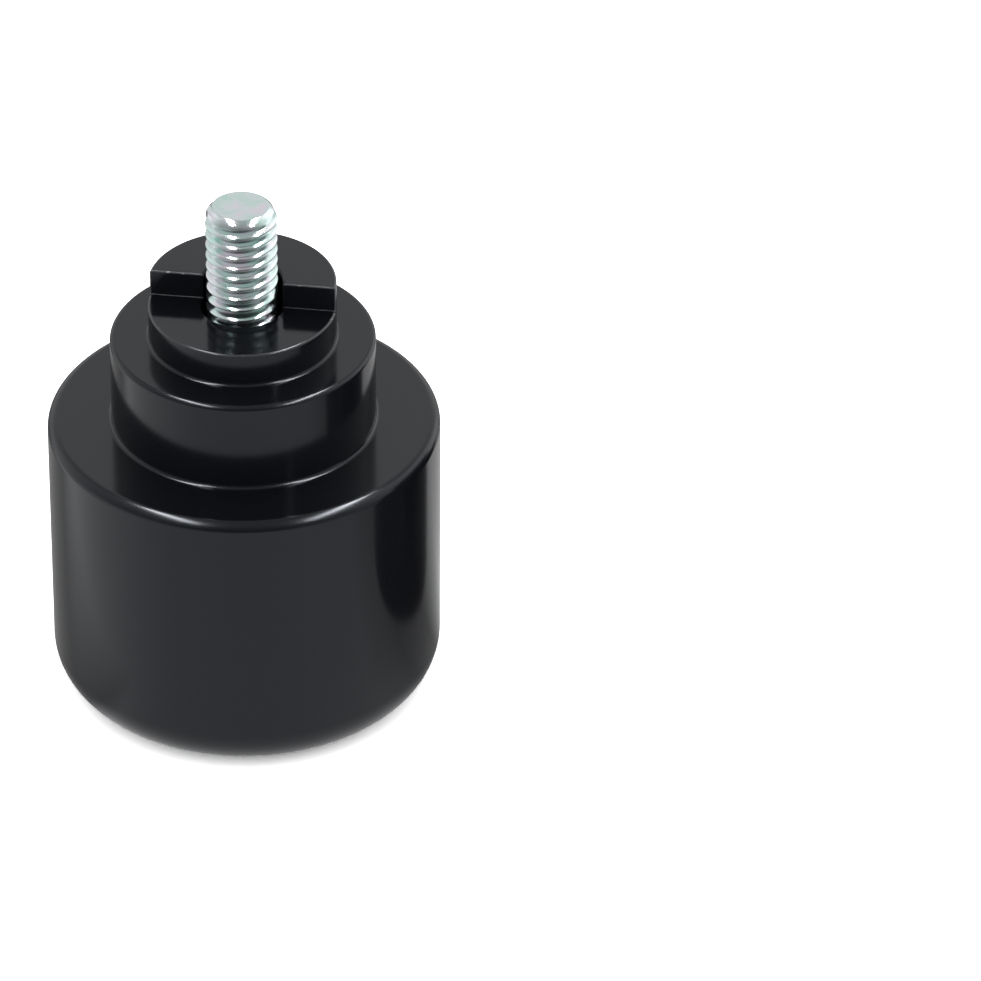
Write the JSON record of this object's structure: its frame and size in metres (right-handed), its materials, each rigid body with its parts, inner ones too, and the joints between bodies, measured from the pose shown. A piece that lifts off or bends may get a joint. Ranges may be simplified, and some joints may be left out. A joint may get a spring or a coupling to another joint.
{
  "type": "handlebar bar end",
  "caption": "Stepped black aluminium handlebar bar end with a half-moon key on its spigot and a socket head screw through its axis.",
  "frame": {"origin": "centre of the barrel's outer face, the face that the part stands on", "axes": "+Z along the axis from the outer face to the screw's tip; the raised half of the spigot is on the +Y side"},
  "size_m": [0.033, 0.033, 0.0461],
  "materials": {
    "black_anodised": "black anodised, satin gloss",
    "zinc_plated": "bright zinc plated"
  },
  "bodies": {
    "root": {"body": "black_anodised", "screw": "zinc_plated"}
  },
  "joints": []
}
